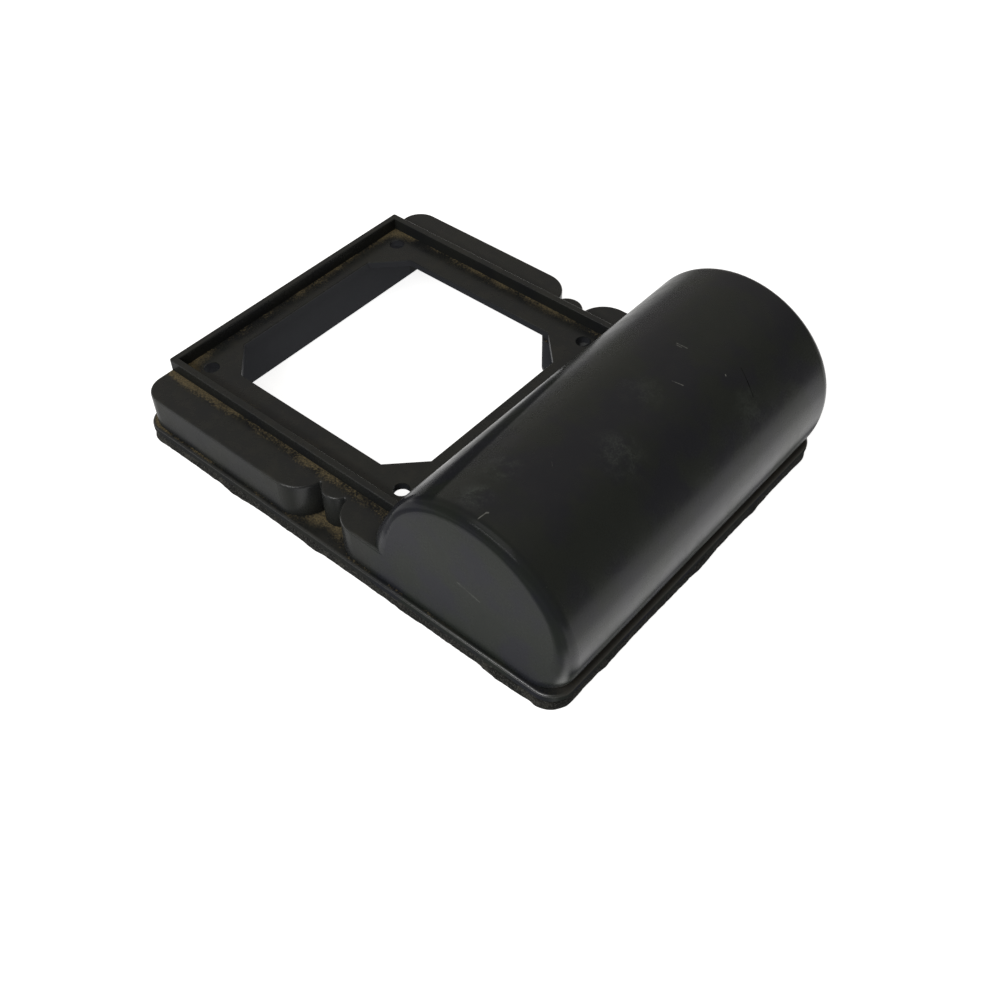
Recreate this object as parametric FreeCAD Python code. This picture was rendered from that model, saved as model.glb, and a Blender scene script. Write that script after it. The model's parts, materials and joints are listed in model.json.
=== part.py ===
import FreeCAD, Part
import math
import os
from FreeCAD import Vector

# Upper housing of a roll-film negative carrier, in millimetres.
# Origin: centre of the four-hole pattern, on the optical axis, at the plate's top face.
# +X runs to the roll-film hood, +Y across the film, +Z up through the light window.

# ---------------------------------------------------------------- driving dimensions
# plate, light window and rim
plate_thickness = 2.5
wall = 2.4
hole_spacing_x = 80.0
hole_spacing_y = 82.0
hole_diameter = 5.0
window_length = 79.2
window_width = 75.0
window_offset_x = -0.9
window_corner = 10.0
window_edge_radius = 0.35
rim_half_width = 49.4
rim_thickness = 2.2
rim_height = 4.1
rim_corner_radius = 0.7
rim_edge_radius = 0.4

# side walls below the plate
frame_back = 48.9
side_half_width = 61.3
side_depth = 11.8
side_corner_radius = 7.0
side_top_radius = 0.8

# relief on each side: two rounded ends with a round bump between them
relief_x = 25.5
relief_half_gap = 5.0
relief_end_radius = 9.5
bump_radius = 5.2
bump_setback = 5.2
relief_root_radius = 0.4

# hood over the film roll
hood_axis_x = 83.0
hood_axis_z = 3.5
hood_radius = 31.4
hood_lean_deg = 30.0
hood_edge_radius = 3.6
hood_foot_corner_radius = 6.5
hood_back_corner_radius = 12.0
hood_edge_growth_deg = 30.0

# flange and foam seal
flange_thickness = 2.2
flange_ledge = 1.4
flange_ledge_front = 1.9
flange_ledge_back = 1.1
flange_corner_radius = 6.9
flange_edge_radius = 0.9
seal_thickness = 4.3
seal_width = 5.0
seal_inset = 0.3
seal_fit = 0.15

# inner wall at the back and the film-edge posts
back_wall_x = -42.4
back_wall_thickness = 2.0
foot_clearance = 0.4
post_x = 29.3
post_y = 41.0
post_radius = 4.5
post_length = 12.5

# film and its roll
film_width = 70.0
film_edge_clearance = 0.3
spool_flange_radius = 20.0
spool_flange_thickness = 1.6
spool_core_radius = 8.0
spool_core_bore_radius = 6.5
spool_plug_length = 12.0
spool_hub_radius = 5.5
spool_hub_height = 1.0
spool_sight_hole_radius = 3.2
spool_sight_hole_count = 5
film_slot_width = 1.4

# pivots that carry the spool
pivot_radius = 3.0
running_fit = 0.04
pivot_engagement = 4.2
pivot_gap = 0.15
washer_thickness = 1.0
washer_radius = 5.2
bracket_thickness = 1.5
bracket_foot_z = 22.0
bracket_ear_width = 14.0
bracket_foot_length = 30.0
rivet_radius = 4.5
rivet_height = 1.0
stem_radius = 2.5
bush_wall = 1.2
bush_flange_overlap = 1.2
bush_flange_thickness = 0.8
clip_thickness = 0.7
clip_overlap = 1.9
clip_land = 0.6
groove_depth = 0.5
axial_play = 0.3
pull_knob_radius = 5.5
pull_knob_thickness = 1.6
pull_knob_gap = 0.4
knob_wall_gap = 0.35
pin_travel = 4.5
spring_wire_radius = 0.3
spring_pitch = 1.52
spring_mean_radius = 3.6

# screws into moulded bosses
screw_radius = 1.45
screw_length = 8.0
screw_head_radius = 2.75
screw_head_height = 1.5
screw_recess_width = 0.7
screw_recess_depth = 0.8
screw_fit = 0.05
boss_radius = 3.6
boss_spacing = 20.0

# guide roller at the hood mouth
roller_radius = 5.2
roller_bore_radius = 3.6
roller_relief = 0.4
roller_land = 6.0
roller_shaft_radius = 2.0
roller_bush_length = 6.0
roller_bush_flange = 0.7
roller_floor_gap = 0.5
roller_plush_gap = 0.4
hanger_thickness = 1.2
hanger_ear_width = 9.4
hanger_rise = 7.4
hanger_neck_height = 3.0

# wall and plush strip that close the hood mouth
mouth_wall_thickness = 2.0
mouth_wall_depth = 12.5
plush_thickness = 3.6

# ---------------------------------------------------------------- derived positions
flange_top = -side_depth
flange_bottom = flange_top - flange_thickness
seal_bottom = flange_bottom - seal_thickness
foot_z = seal_bottom + foot_clearance
lean = math.radians(hood_lean_deg)
hood_front_x = hood_axis_x + math.sqrt(hood_radius ** 2 - (flange_top - hood_axis_z) ** 2)
hood_foot_x = (hood_axis_x - hood_radius * math.cos(lean)
               - (hood_axis_z + hood_radius * math.sin(lean)) * math.tan(lean))
bump_reach = side_half_width - bump_setback
bump_center_y = bump_reach - bump_radius
end_center_x = relief_x - relief_half_gap - relief_end_radius
end_center_y = side_half_width - relief_end_radius
spool_axis = Vector(hood_axis_x, 0, hood_axis_z)
spool_inner_y = film_width / 2 + film_edge_clearance
spool_outer_y = spool_inner_y + spool_flange_thickness
spool_hub_y = spool_outer_y + spool_hub_height
web_y = spool_hub_y + pivot_gap + washer_thickness
knob_out_y = side_half_width - wall - knob_wall_gap - pin_travel
bracket_depth = knob_out_y - pull_knob_thickness - pull_knob_gap - web_y
roller_x = (hood_foot_x + (mouth_wall_thickness + plush_thickness) / 2 + roller_plush_gap
            + roller_radius)
roller_axis = Vector(roller_x, 0, seal_bottom + roller_floor_gap + roller_radius)
roller_tube_y = spool_inner_y
hanger_y = roller_tube_y + roller_bush_flange + axial_play


# ---------------------------------------------------------------- helpers
def box(x_range, y_range, z_range):
    corner = Vector(x_range[0], y_range[0], z_range[0])
    return Part.makeBox(x_range[1] - x_range[0], y_range[1] - y_range[0],
                        z_range[1] - z_range[0], corner)


def rod(radius, start, end):
    return Part.makeCylinder(radius, (end - start).Length, start, end - start)


def tube(outer_radius, inner_radius, start, end):
    return rod(outer_radius, start, end).cut(rod(inner_radius, start, end))


def along_y(axis, side, near, far):
    """Start and end points on a line along Y, at distances from the middle on one side."""
    return Vector(axis.x, side * near, axis.z), Vector(axis.x, side * far, axis.z)


def line(a, b):
    return Part.makeLine(a, b)


def arc(a, middle, b):
    return Part.Arc(a, middle, b).toShape()


def on_circle(center, radius, angle):
    return center + Vector(radius * math.cos(angle), radius * math.sin(angle), 0)


def solid_from_outline(edges, height):
    """Closed flat outline swept along a vector."""
    return Part.Face(Part.Wire(edges)).extrude(height)


def rounded_plate(x_range, half_width, z_range, radius):
    """Rectangular slab, symmetrical in Y, with rounded vertical corners."""
    slab = box(x_range, (-half_width, half_width), z_range)
    return slab.makeFillet(radius, vertical_edges(slab))


def edges_where(shape, test):
    """Edges whose two ends and middle all pass the test."""
    found = []
    for edge in shape.Edges:
        first, last = edge.ParameterRange
        points = [edge.valueAt(first + (last - first) * t) for t in (0.0, 0.5, 1.0)]
        if all(test(p) for p in points):
            found.append(edge)
    return found


def vertical_edges(shape):
    found = []
    for edge in shape.Edges:
        a, b = edge.Vertexes[0].Point, edge.Vertexes[-1].Point
        if abs(a.x - b.x) < 1e-6 and abs(a.y - b.y) < 1e-6 and abs(a.z - b.z) > 1e-6:
            found.append(edge)
    return found


def mirrored(shape):
    return shape.mirror(Vector(0, 0, 0), Vector(0, 1, 0))


def export(name, shapes):
    shape = shapes if isinstance(shapes, Part.Shape) else Part.makeCompound(shapes)
    for solid in shape.Solids:
        if not solid.isValid():
            raise ValueError(name + " has a faulty solid")
    shape.exportStep("parts/" + name + ".step")
    print(name, len(shape.Solids), "solid", round(shape.Volume, 1), "mm3")


# ---------------------------------------------------------------- housing
def side_run(inset, front_x):
    """Outline of one long side, from the back to front_x, moved inwards by inset.

    Each relief is where the round end of one wall meets the bump. Inside the wall,
    an arc round that meeting point keeps the wall's thickness.
    """
    end = Vector(end_center_x, end_center_y, 0)
    bump = Vector(relief_x, bump_center_y, 0)
    gap = bump - end
    # the end's circle and the bump's circle meet here
    along = (gap.Length ** 2 + relief_end_radius ** 2 - bump_radius ** 2) / (2 * gap.Length)
    across = math.sqrt(relief_end_radius ** 2 - along ** 2)
    unit = Vector(gap).normalize()
    meet = end + unit * along + Vector(-unit.y, unit.x, 0) * across
    from_end = (meet - end) * (1 / relief_end_radius)
    from_bump = (meet - bump) * (1 / bump_radius)

    def flip(p):
        return Vector(2 * relief_x - p.x, p.y, 0)

    y = side_half_width - inset
    back_x = -frame_back + inset
    corner = Vector(back_x + side_corner_radius - inset, y - side_corner_radius + inset, 0)
    end_radius = relief_end_radius - inset
    end_top = Vector(end.x, y, 0)
    end_tip = meet - from_end * inset
    end_middle = end + (end_top + end_tip - end * 2).normalize() * end_radius
    bump_start = meet - from_bump * inset
    bump_top = bump + Vector(0, bump_radius - inset, 0)
    run = [arc(Vector(back_x, corner.y, 0),
               on_circle(corner, side_corner_radius - inset, math.radians(135)),
               Vector(corner.x, y, 0)),
           line(Vector(corner.x, y, 0), end_top),
           arc(end_top, end_middle, end_tip)]
    if inset:
        root = meet - (from_end + from_bump).normalize() * inset
        run.append(arc(end_tip, root, bump_start))
    run.append(arc(bump_start, bump_top, flip(bump_start)))
    if inset:
        run.append(arc(flip(bump_start), flip(root), flip(end_tip)))
    run.append(arc(flip(end_tip), flip(end_middle), flip(end_top)))
    run.append(line(flip(end_top), Vector(front_x, y, 0)))
    return run


def side_prism(inset, front_x, z_low, z_high):
    far = side_run(inset, front_x)
    near = [edge.mirror(Vector(0, 0, 0), Vector(0, 1, 0)) for edge in far]
    y = side_half_width - inset
    back_x = -frame_back + inset
    back_y = side_half_width - side_corner_radius
    edges = far + near + [line(Vector(back_x, -back_y, 0), Vector(back_x, back_y, 0)),
                          line(Vector(front_x, -y, 0), Vector(front_x, y, 0))]
    outline = Part.Wire(Part.__sortEdges__(edges))
    outline.translate(Vector(0, 0, z_low))
    return Part.Face(outline).extrude(Vector(0, 0, z_high - z_low))


def hood_solid(inset):
    """Half-round hood: a leaning wall, tangent to a barrel that closes under itself."""
    radius = hood_radius - inset
    y = side_half_width - inset
    axis = Vector(hood_axis_x, -y, hood_axis_z)

    def at(angle):
        return axis + Vector(radius * math.cos(angle), 0, radius * math.sin(angle))

    tangent_angle = math.pi - lean
    foot_angle = math.asin((flange_top - hood_axis_z) / radius)
    growth_angle = math.radians(hood_edge_growth_deg)
    tangent = at(tangent_angle)
    foot = at(foot_angle)
    growth = at(growth_angle)
    lean_foot = tangent + Vector(-math.tan(lean), 0, -1) * (tangent.z - flange_top)
    edges = [line(lean_foot, tangent),
             arc(tangent, at((tangent_angle + growth_angle) / 2), growth),
             arc(growth, at((growth_angle + foot_angle) / 2), foot),
             line(foot, lean_foot)]
    solid = solid_from_outline(edges, Vector(0, 2 * y, 0))
    return round_hood_ends(solid, y, inset)


def round_hood_ends(solid, half_width, inset):
    """Round both end edges of the hood, with the radius growing down to both feet."""
    radius = hood_edge_radius - inset
    front_radius = hood_foot_corner_radius - inset
    back_radius = hood_back_corner_radius - inset
    document = FreeCAD.newDocument()
    base = document.addObject("Part::Feature", "base")
    base.Shape = solid
    rounds = []
    for number, edge in enumerate(base.Shape.Edges, 1):
        ends = [edge.valueAt(p) for p in edge.ParameterRange]
        on_end = all(abs(abs(p.y) - half_width) < 1e-6 for p in ends)
        on_foot = all(abs(p.z - flange_top) < 1e-6 for p in ends)
        if not on_end or on_foot or ends[0].y * ends[1].y < 0:
            continue
        low_radius = radius
        if min(p.z for p in ends) < flange_top + 1e-6:
            low_radius = front_radius if min(p.x for p in ends) > hood_axis_x else back_radius
        starts_low = ends[0].z < ends[1].z
        sizes = (low_radius, radius) if starts_low else (radius, low_radius)
        rounds.append((number,) + sizes)
    rounded = document.addObject("Part::Fillet", "rounded")
    rounded.Base = base
    rounded.Edges = rounds
    document.recompute()
    result = rounded.Shape.copy()
    FreeCAD.closeDocument(document.Name)
    return result


def flange_solid():
    x_range = (-frame_back - flange_ledge_back, hood_front_x + flange_ledge_front)
    slab = rounded_plate(x_range, side_half_width + flange_ledge, (flange_bottom, flange_top),
                         flange_corner_radius)
    top = edges_where(slab, lambda p: abs(p.z - flange_top) < 1e-6)
    return slab.makeFillet(flange_edge_radius, top)


def rim_solid():
    """Raised rim on three sides; its open end runs through the hood's leaning wall."""
    z_range = (-plate_thickness / 2, rim_height)
    open_end_x = hood_foot_x + rim_height * math.tan(lean) + 2 * wall
    outer = box((-frame_back, open_end_x), (-rim_half_width, rim_half_width), z_range)
    back_corners = edges_where(outer, lambda p: abs(p.x + frame_back) < 1e-6
                               and abs(abs(p.y) - rim_half_width) < 1e-6)
    outer = outer.makeFillet(rim_corner_radius, back_corners)
    inner_y = rim_half_width - rim_thickness
    inner = box((-frame_back + rim_thickness, open_end_x + 1), (-inner_y, inner_y), z_range)
    rim = outer.cut(inner)
    top = edges_where(rim, lambda p: abs(p.z - rim_height) < 1e-6)
    top = [e for e in top if not all(abs(v.Point.x - open_end_x) < 1e-3 for v in e.Vertexes)]
    return rim.makeFillet(rim_edge_radius, top)


def window_prism():
    """Window through the plate, with its corners cut at 45 degrees."""
    low_x = window_offset_x - window_length / 2
    high_x = window_offset_x + window_length / 2
    half = window_width / 2
    points = [(low_x + window_corner, -half), (high_x - window_corner, -half),
              (high_x, -half + window_corner), (high_x, half - window_corner),
              (high_x - window_corner, half), (low_x + window_corner, half),
              (low_x, half - window_corner), (low_x, -half + window_corner)]
    corners = [Vector(x, y, -plate_thickness - 1) for x, y in points]
    outline = Part.makePolygon(corners + corners[:1])
    return Part.Face(outline).extrude(Vector(0, 0, plate_thickness + 2))


def hole_centers():
    return [Vector(sx * hole_spacing_x / 2, sy * hole_spacing_y / 2, 0)
            for sx in (-1, 1) for sy in (-1, 1)]


def boss_centers(side):
    y = side * (web_y + bracket_thickness + (bracket_depth - 2 * bracket_thickness) / 2)
    return [Vector(hood_axis_x + dx, y, bracket_foot_z) for dx in (-boss_spacing / 2,
                                                                   boss_spacing / 2)]


def post_center(side):
    return Vector(post_x, side * post_y, -plate_thickness - post_length)


def top_housing():
    body = side_prism(0, hood_axis_x, flange_top, 0)
    roots = [e for e in vertical_edges(body)
             if abs(e.Vertexes[0].Point.x - relief_x) < relief_half_gap + 1
             and abs(e.Vertexes[0].Point.y) < bump_reach]
    body = body.makeFillet(relief_root_radius, roots)
    front_face_x = hood_axis_x - 1e-3
    top = edges_where(body, lambda p: abs(p.z) < 1e-6)
    top = [e for e in top if not all(v.Point.x > front_face_x for v in e.Vertexes)]
    body = body.makeFillet(side_top_radius, top)
    outer = body.fuse([hood_solid(0), flange_solid(), rim_solid()])

    # the hollow below the plate, the hollow of the hood, and their way out at the bottom
    inner_front_x = hood_axis_x + math.sqrt((hood_radius - wall) ** 2
                                            - (flange_top - hood_axis_z) ** 2)
    plate_hollow = side_prism(wall, hood_axis_x, flange_bottom - 1, -plate_thickness)
    way_out = rounded_plate((hood_foot_x, inner_front_x), side_half_width - wall,
                            (flange_bottom - 1, flange_top), hood_foot_corner_radius - wall)
    shell = outer.cut([hood_solid(wall), plate_hollow, way_out])

    # inner wall at the back, wall at the hood mouth, posts and screw bosses
    inner_y = side_half_width - wall / 2
    overlap = plate_thickness / 2
    back_wall = box((back_wall_x - back_wall_thickness, back_wall_x), (-inner_y, inner_y),
                    (foot_z, -overlap))
    beside_seal = seal_inner_y() - seal_inner_corner() - seal_fit
    for side in (-1, 1):
        reach = sorted((side * beside_seal, side * (inner_y + 1)))
        back_wall = back_wall.cut(box((back_wall_x - 2 * back_wall_thickness, back_wall_x + 1),
                                      reach, (foot_z - 1, flange_bottom)))
    mouth_wall = box((hood_foot_x, hood_foot_x + mouth_wall_thickness), (-inner_y, inner_y),
                     (-mouth_wall_depth, -overlap))
    inside = [back_wall, mouth_wall]
    pilots = []
    for side in (-1, 1):
        low = post_center(side)
        inside.append(rod(post_radius, low, low + Vector(0, 0, post_length + overlap)))
        pilots.append(rod(screw_radius + screw_fit, low - Vector(0, 0, 1),
                          low + Vector(0, 0, screw_length)))
        for foot in boss_centers(side):
            boss = rod(boss_radius, foot, foot + Vector(0, 0, hood_radius))
            inside.append(boss.common(hood_solid(wall / 2)))
            pilots.append(rod(screw_radius + screw_fit, foot - Vector(0, 0, 1),
                              foot + Vector(0, 0, screw_length - bracket_thickness)))
    shell = shell.fuse(inside)

    holes = [rod(hole_diameter / 2, c - Vector(0, 0, plate_thickness + 1), c + Vector(0, 0, 1))
             for c in hole_centers()]
    shell = shell.cut([window_prism()] + holes + pilots).removeSplitter()
    half = window_width / 2 + 1e-3
    edge_x = window_length / 2 + abs(window_offset_x) + 1e-3
    sharp = [e for e in edges_where(shell, lambda p: abs(p.z) < 1e-6 and abs(p.y) < half
                                    and abs(p.x) < edge_x) if len(e.Vertexes) == 2]
    return shell.makeFillet(window_edge_radius, sharp)


def seal_inner_y():
    return side_half_width + flange_ledge - seal_inset - seal_width


def seal_inner_corner():
    return max(flange_corner_radius - seal_inset - seal_width, seal_fit)


def foam_light_seal():
    """One die-cut ring bonded under the flange."""
    back = -frame_back - flange_ledge_back + seal_inset
    front = hood_front_x + flange_ledge_front - seal_inset
    half = side_half_width + flange_ledge - seal_inset
    z_range = (seal_bottom, flange_bottom)
    radius = flange_corner_radius - seal_inset
    outer = rounded_plate((back, front), half, z_range, radius)
    inner = rounded_plate((back + seal_width, front - seal_width), half - seal_width, z_range,
                          seal_inner_corner())
    return outer.cut(inner)


# ---------------------------------------------------------------- hood mouth
def light_trap_plush():
    middle = hood_foot_x + mouth_wall_thickness / 2
    return box((middle - plush_thickness / 2, middle + plush_thickness / 2),
               (-hanger_y, hanger_y), (foot_z, -mouth_wall_depth))


def roller_hanger(side):
    """Steel foot under a post; a neck below the mouth wall ends in an ear beside the roller."""
    under = post_center(side).z
    low = under - hanger_thickness
    y_range = (hanger_y, hanger_y + hanger_thickness)
    near = min(hanger_y, post_y - post_radius)
    foot_end_x = post_x + post_radius + axial_play
    foot = box((post_x, foot_end_x), (near, post_y + post_radius), (low, under))
    foot = foot.fuse(rod(post_radius, Vector(post_x, post_y, low),
                         Vector(post_x, post_y, under)))
    neck = box((foot_end_x - hanger_thickness, roller_x), y_range,
               (low, low + hanger_neck_height))
    ear_x = (roller_x - hanger_ear_width / 2, roller_x + hanger_ear_width / 2)
    ear_top = under + hanger_rise
    ear = box(ear_x, y_range, (low, ear_top))
    ear = ear.makeFillet(2.0, edges_where(ear, lambda p: p.z > ear_top - 1e-6
                                          and abs(p.x - roller_x) > hanger_ear_width / 2 - 1e-6))
    hole = rod(roller_shaft_radius + screw_fit, *along_y(roller_axis, 1, hanger_y - 1,
                                                         hanger_y + hanger_thickness + 1))
    screw_hole = rod(screw_radius + 2 * screw_fit, Vector(post_x, post_y, low - 1),
                     Vector(post_x, post_y, under + 1))
    hanger = foot.fuse([neck, ear]).cut([hole, screw_hole]).removeSplitter()
    return hanger if side > 0 else mirrored(hanger)


def groove_y():
    return hanger_y + hanger_thickness + screw_fit


def guide_roller_shaft():
    end_y = groove_y() + clip_thickness + 1.2
    shaft = rod(roller_shaft_radius, Vector(roller_x, -end_y, roller_axis.z),
                Vector(roller_x, end_y, roller_axis.z))
    grooves = [tube(roller_shaft_radius + 1, roller_shaft_radius - groove_depth,
                    *along_y(roller_axis, side, groove_y(), groove_y() + clip_thickness))
               for side in (-1, 1)]
    return shaft.cut(grooves)


def retaining_clip(axis, shaft_radius, side, near, opening):
    """E-clip: a flat ring seated in a groove, open on one side."""
    start, end = along_y(axis, side, near, near + clip_thickness)
    ring = tube(shaft_radius + clip_overlap, shaft_radius - groove_depth, start, end)
    gap = shaft_radius - groove_depth - 0.1
    reach = shaft_radius + clip_overlap + 1
    y_range = sorted((start.y, end.y))
    slot = box((axis.x - gap, axis.x + gap), y_range,
               sorted((axis.z, axis.z + opening * reach)))
    return ring.cut(slot)


def shaft_clips():
    return [retaining_clip(roller_axis, roller_shaft_radius, side, groove_y(), 1)
            for side in (-1, 1)]


def guide_roller():
    """Aluminium tube, turned down between its two end lands so that only the edges touch."""
    body = tube(roller_radius, roller_bore_radius, *along_y(roller_axis, 1, -roller_tube_y,
                                                            roller_tube_y))
    relief_y = roller_tube_y - roller_land
    return body.cut(tube(roller_radius + 1, roller_radius - roller_relief,
                         *along_y(roller_axis, 1, -relief_y, relief_y)))


def guide_roller_bushes():
    bushes = []
    for side in (-1, 1):
        plug = rod(roller_bore_radius, *along_y(roller_axis, side,
                                                roller_tube_y - roller_bush_length,
                                                roller_tube_y))
        flange = rod(roller_radius - roller_relief,
                     *along_y(roller_axis, side, roller_tube_y,
                              roller_tube_y + roller_bush_flange))
        bore = rod(roller_shaft_radius + running_fit,
                   *along_y(roller_axis, side, 0, hanger_y))
        bushes.append(plug.fuse(flange).cut(bore).removeSplitter())
    return bushes


# ---------------------------------------------------------------- spool
def spool_core():
    core = tube(spool_core_radius, spool_core_bore_radius,
                *along_y(spool_axis, 1, -spool_inner_y, spool_inner_y))
    slot_y = spool_inner_y - spool_plug_length - 1
    slot = box((hood_axis_x - film_slot_width / 2, hood_axis_x + film_slot_width / 2),
               (-slot_y, slot_y), (hood_axis_z, hood_axis_z + spool_core_radius + 1))
    return core.cut(slot)


def spool_flange(side):
    """Disc with sight holes, a plug that fits in the core and a raised hub."""
    disc = rod(spool_flange_radius, *along_y(spool_axis, side, spool_inner_y, spool_outer_y))
    rim_edges = edges_where(disc, lambda p: math.hypot(p.x - spool_axis.x, p.z - spool_axis.z)
                            > spool_flange_radius - 1e-3 and abs(abs(p.y) - disc_middle()) > 0.1)
    disc = disc.makeFillet(0.4, [e for e in rim_edges if len(e.Vertexes) == 1])
    plug = rod(spool_core_bore_radius, *along_y(spool_axis, side, spool_inner_y
                                                - spool_plug_length, spool_inner_y))
    hub = rod(spool_hub_radius, *along_y(spool_axis, side, spool_outer_y, spool_hub_y))
    bore = rod(pivot_radius + running_fit, *along_y(spool_axis, side, 0, web_y))
    sight_circle = (spool_core_radius + spool_flange_radius) / 2
    holes = []
    for number in range(spool_sight_hole_count):
        angle = 2 * math.pi * number / spool_sight_hole_count
        center = spool_axis + Vector(sight_circle * math.cos(angle), 0,
                                     sight_circle * math.sin(angle))
        holes.append(rod(spool_sight_hole_radius, *along_y(center, side, 0, web_y)))
    return disc.fuse([plug, hub]).cut([bore] + holes).removeSplitter()


def disc_middle():
    return (spool_inner_y + spool_outer_y) / 2


# ---------------------------------------------------------------- spool pivots
def bracket_far_y():
    return web_y + bracket_depth


def pivot_bracket(side, with_outer_ear, hole_radius):
    """Folded steel strip, screwed up under the hood's bosses, with the pivot in its ear."""
    half = bracket_foot_length / 2
    ear_half = bracket_ear_width / 2
    foot_z_range = (bracket_foot_z - bracket_thickness, bracket_foot_z)
    foot = box((hood_axis_x - half, hood_axis_x + half), (web_y, bracket_far_y()), foot_z_range)
    foot = foot.makeFillet(2.0, vertical_edges(foot))
    ear_starts = [web_y]
    if with_outer_ear:
        ear_starts.append(bracket_far_y() - bracket_thickness)
    pieces = []
    for start in ear_starts:
        y_range = (start, start + bracket_thickness)
        pieces.append(box((hood_axis_x - ear_half, hood_axis_x + ear_half), y_range,
                          (hood_axis_z, bracket_foot_z - bracket_thickness / 2)))
        pieces.append(rod(ear_half, *along_y(spool_axis, 1, *y_range)))
    cuts = [rod(hole_radius, *along_y(spool_axis, 1, web_y - 1, web_y + bracket_thickness + 1))]
    if with_outer_ear:
        cuts.append(rod(stem_radius + running_fit, *along_y(spool_axis, 1, bracket_far_y()
                                                            - bracket_thickness - 1,
                                                            bracket_far_y() + 1)))
    for center in boss_centers(1):
        cuts.append(rod(screw_radius + 2 * screw_fit, center - Vector(0, 0, bracket_depth),
                        center + Vector(0, 0, 1)))
    bracket = foot.fuse(pieces).cut(cuts).removeSplitter()
    return bracket if side > 0 else mirrored(bracket)


def fixed_pivot_pin():
    """Pin riveted into the near bracket, with its nose in the spool's near flange."""
    nose = rod(pivot_radius, *along_y(spool_axis, -1, spool_hub_y - pivot_engagement,
                                      web_y + bracket_thickness))
    head = rod(rivet_radius, *along_y(spool_axis, -1, web_y + bracket_thickness,
                                      web_y + bracket_thickness + rivet_height))
    return nose.fuse(head).removeSplitter()


def washer(side):
    """Flat washer round a pivot, between the spool's hub and the bracket."""
    return tube(washer_radius, pivot_radius + screw_fit,
                *along_y(spool_axis, side, web_y - washer_thickness, web_y))


def stem_clip_y():
    return web_y + bracket_thickness + bush_flange_thickness + axial_play


def knob_y():
    return bracket_far_y() + pull_knob_gap


def sprung_pivot_pin():
    """Pin that slides out of the spool's far flange when its knob is pulled."""
    land_y = stem_clip_y() + clip_thickness + clip_land
    nose = rod(pivot_radius, *along_y(spool_axis, 1, spool_hub_y - pivot_engagement, land_y))
    stem = rod(stem_radius, *along_y(spool_axis, 1, land_y, knob_y() + pull_knob_thickness))
    groove = tube(pivot_radius + 1, pivot_radius - groove_depth,
                  *along_y(spool_axis, 1, stem_clip_y(), stem_clip_y() + clip_thickness))
    pin = nose.fuse(stem).cut(groove).removeSplitter()
    tip = edges_where(pin, lambda p: abs(p.y - spool_hub_y + pivot_engagement) < 1e-6)
    return pin.makeChamfer(0.6, tip)


def pin_bush():
    bush = rod(pivot_radius + bush_wall, *along_y(spool_axis, 1, web_y,
                                                  web_y + bracket_thickness))
    flange = rod(pivot_radius + bush_wall + bush_flange_overlap,
                 *along_y(spool_axis, 1, web_y + bracket_thickness,
                          web_y + bracket_thickness + bush_flange_thickness))
    bore = rod(pivot_radius + running_fit, *along_y(spool_axis, 1, 0, bracket_far_y()))
    return bush.fuse(flange).cut(bore).removeSplitter()


def pin_spring():
    """Coil spring on the pin's stem, between its clip and the bracket's outer ear."""
    start_y = stem_clip_y() + clip_thickness + spring_wire_radius
    end_y = bracket_far_y() - bracket_thickness - spring_wire_radius
    turns = max(1, round((end_y - start_y) / spring_pitch))
    helix = Part.makeHelix((end_y - start_y) / turns, end_y - start_y, spring_mean_radius)
    wire_circle = Part.Wire(Part.makeCircle(spring_wire_radius,
                                            Vector(spring_mean_radius, 0, 0),
                                            Vector(0, 1, 0)))
    coil = Part.Wire(helix).makePipeShell([wire_circle], True, True)
    coil.rotate(Vector(0, 0, 0), Vector(1, 0, 0), -90)
    coil.translate(Vector(hood_axis_x, start_y, hood_axis_z))
    return coil


def pull_knob():
    """Thin ribbed disc pressed on the stem's end."""
    knob = rod(pull_knob_radius, *along_y(spool_axis, 1, knob_y(),
                                          knob_y() + pull_knob_thickness))
    ribs = 20
    cuts = [rod(stem_radius, *along_y(spool_axis, 1, knob_y() - 1, bracket_far_y() + 9))]
    for number in range(ribs):
        angle = 2 * math.pi * number / ribs
        center = spool_axis + Vector(pull_knob_radius * math.cos(angle), 0,
                                     pull_knob_radius * math.sin(angle))
        cuts.append(rod(0.35, *along_y(center, 1, knob_y() - 1, bracket_far_y() + 9)))
    return knob.cut(cuts)


# ---------------------------------------------------------------- screws
def pan_screw(seat):
    """Cross-head screw driven upwards; seat is where its head bears."""
    shank = rod(screw_radius, seat, seat + Vector(0, 0, screw_length))
    tip = edges_where(shank, lambda p: p.z > seat.z + screw_length - 1e-6)
    shank = shank.makeChamfer(screw_radius / 2, tip)
    head = rod(screw_head_radius, seat - Vector(0, 0, screw_head_height), seat)
    low = edges_where(head, lambda p: p.z < seat.z - screw_head_height + 1e-6)
    head = head.makeFillet(screw_head_height / 2, low)
    arm = screw_head_radius * 0.6
    thin = screw_recess_width / 2
    depth = (seat.z - screw_head_height - 1, seat.z - screw_head_height + screw_recess_depth)
    cross = [box((seat.x - arm, seat.x + arm), (seat.y - thin, seat.y + thin), depth),
             box((seat.x - thin, seat.x + thin), (seat.y - arm, seat.y + arm), depth)]
    return shank.fuse(head).cut(cross).removeSplitter()


def bracket_screws():
    drop = Vector(0, 0, bracket_thickness)
    return [pan_screw(center - drop) for side in (-1, 1) for center in boss_centers(side)]


def hanger_screws():
    drop = Vector(0, 0, hanger_thickness)
    return [pan_screw(post_center(side) - drop) for side in (-1, 1)]


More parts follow.
